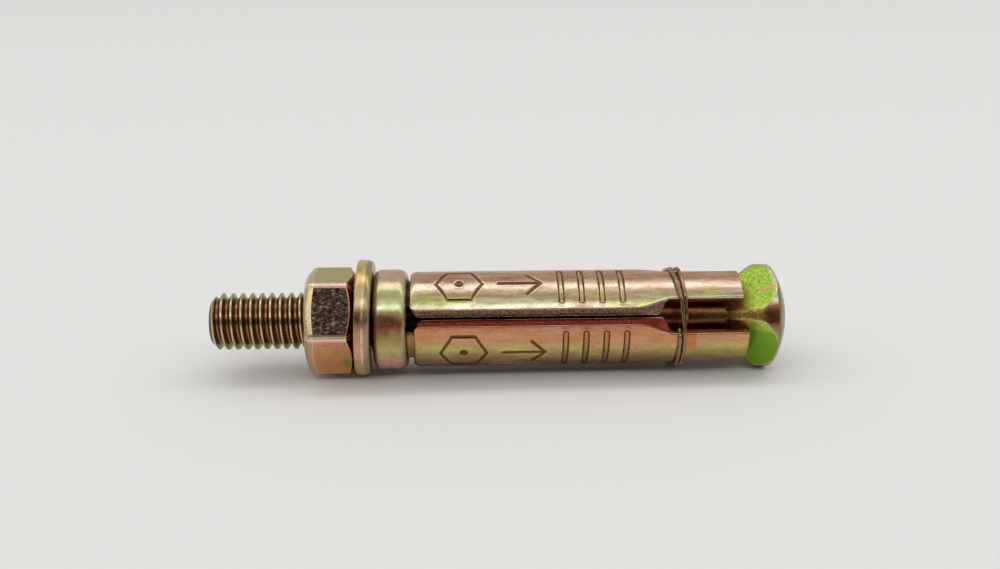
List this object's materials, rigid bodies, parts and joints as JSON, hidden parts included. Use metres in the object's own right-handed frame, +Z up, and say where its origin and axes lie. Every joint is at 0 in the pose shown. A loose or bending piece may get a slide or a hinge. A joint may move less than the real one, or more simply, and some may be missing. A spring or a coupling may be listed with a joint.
{
  "type": "expansion shield anchor",
  "caption": "Expansion anchor: a threaded stud with nut and washer draws a faceted wedge head into a split shield held by a pressed collar and a wire ring.",
  "frame": {"origin": "on the bolt's axis, at the middle of the collar's widest band", "axes": "+X along the bolt from the nut to the wedge head; +Z up as the anchor lies on its side; -Y towards the camera"},
  "size_m": [0.0595, 0.012, 0.012],
  "materials": {
    "bolt_steel": "yellow passivated zinc, olive with green facets",
    "nut_steel": "yellow passivated zinc, gold and pink",
    "washer_steel": "yellow passivated zinc, pale gold",
    "shield_steel": "yellow passivated zinc, pink-brown with green and gold patches",
    "spring_wire": "bright drawn wire with a gold tint"
  },
  "bodies": {
    "shield_collar": {"collar": "shield_steel", "washer": "washer_steel", "retaining_ring": "spring_wire"},
    "nut": {"hex_nut": "nut_steel"},
    "bolt": {"expander_bolt": "bolt_steel"},
    "leaf_upper_front": {"leaf_upper_front": "shield_steel"},
    "leaf_lower_front": {"leaf_lower_front": "shield_steel"},
    "leaf_upper_back": {"leaf_upper_back": "shield_steel"},
    "leaf_lower_back": {"leaf_lower_back": "shield_steel"}
  },
  "joints": [
    {"name": "bolt_pull", "type": "slide", "parent": "shield_collar", "child": "bolt", "axis": [-1, 0, 0], "range_m": [0, 0.0025], "deforming": ["retaining_ring"]},
    {"name": "nut_turn", "type": "hinge", "parent": "shield_collar", "child": "nut", "pos_m": [-0.00615, 0, 0], "axis": [1, 0, 0], "range_deg": [0, 900.5]},
    {"name": "leaf_upper_front_spread", "type": "hinge", "parent": "shield_collar", "child": "leaf_upper_front", "pos_m": [0.0018, -0.00175, 0.00376], "axis": [0, -0.9063, -0.4226], "range_deg": [0, 2.51]},
    {"name": "leaf_lower_front_spread", "type": "hinge", "parent": "shield_collar", "child": "leaf_lower_front", "pos_m": [0.0018, -0.00376, -0.00175], "axis": [0, 0.4226, -0.9063], "range_deg": [0, 2.51]},
    {"name": "leaf_upper_back_spread", "type": "hinge", "parent": "shield_collar", "child": "leaf_upper_back", "pos_m": [0.0018, 0.00376, 0.00175], "axis": [0, -0.4226, 0.9063], "range_deg": [0, 2.51]},
    {"name": "leaf_lower_back_spread", "type": "hinge", "parent": "shield_collar", "child": "leaf_lower_back", "pos_m": [0.0018, 0.00175, -0.00376], "axis": [0, 0.9063, 0.4226], "range_deg": [0, 2.51]}
  ],
  "couplings": [
    {"joint": "nut_turn", "follows": "bolt_pull", "rad_per_m": 6283.2},
    {"joint": "leaf_upper_front_spread", "follows": "bolt_pull", "rad_per_m": 17.453},
    {"joint": "leaf_lower_front_spread", "follows": "bolt_pull", "rad_per_m": 17.453},
    {"joint": "leaf_upper_back_spread", "follows": "bolt_pull", "rad_per_m": 17.453},
    {"joint": "leaf_lower_back_spread", "follows": "bolt_pull", "rad_per_m": 17.453}
  ]
}
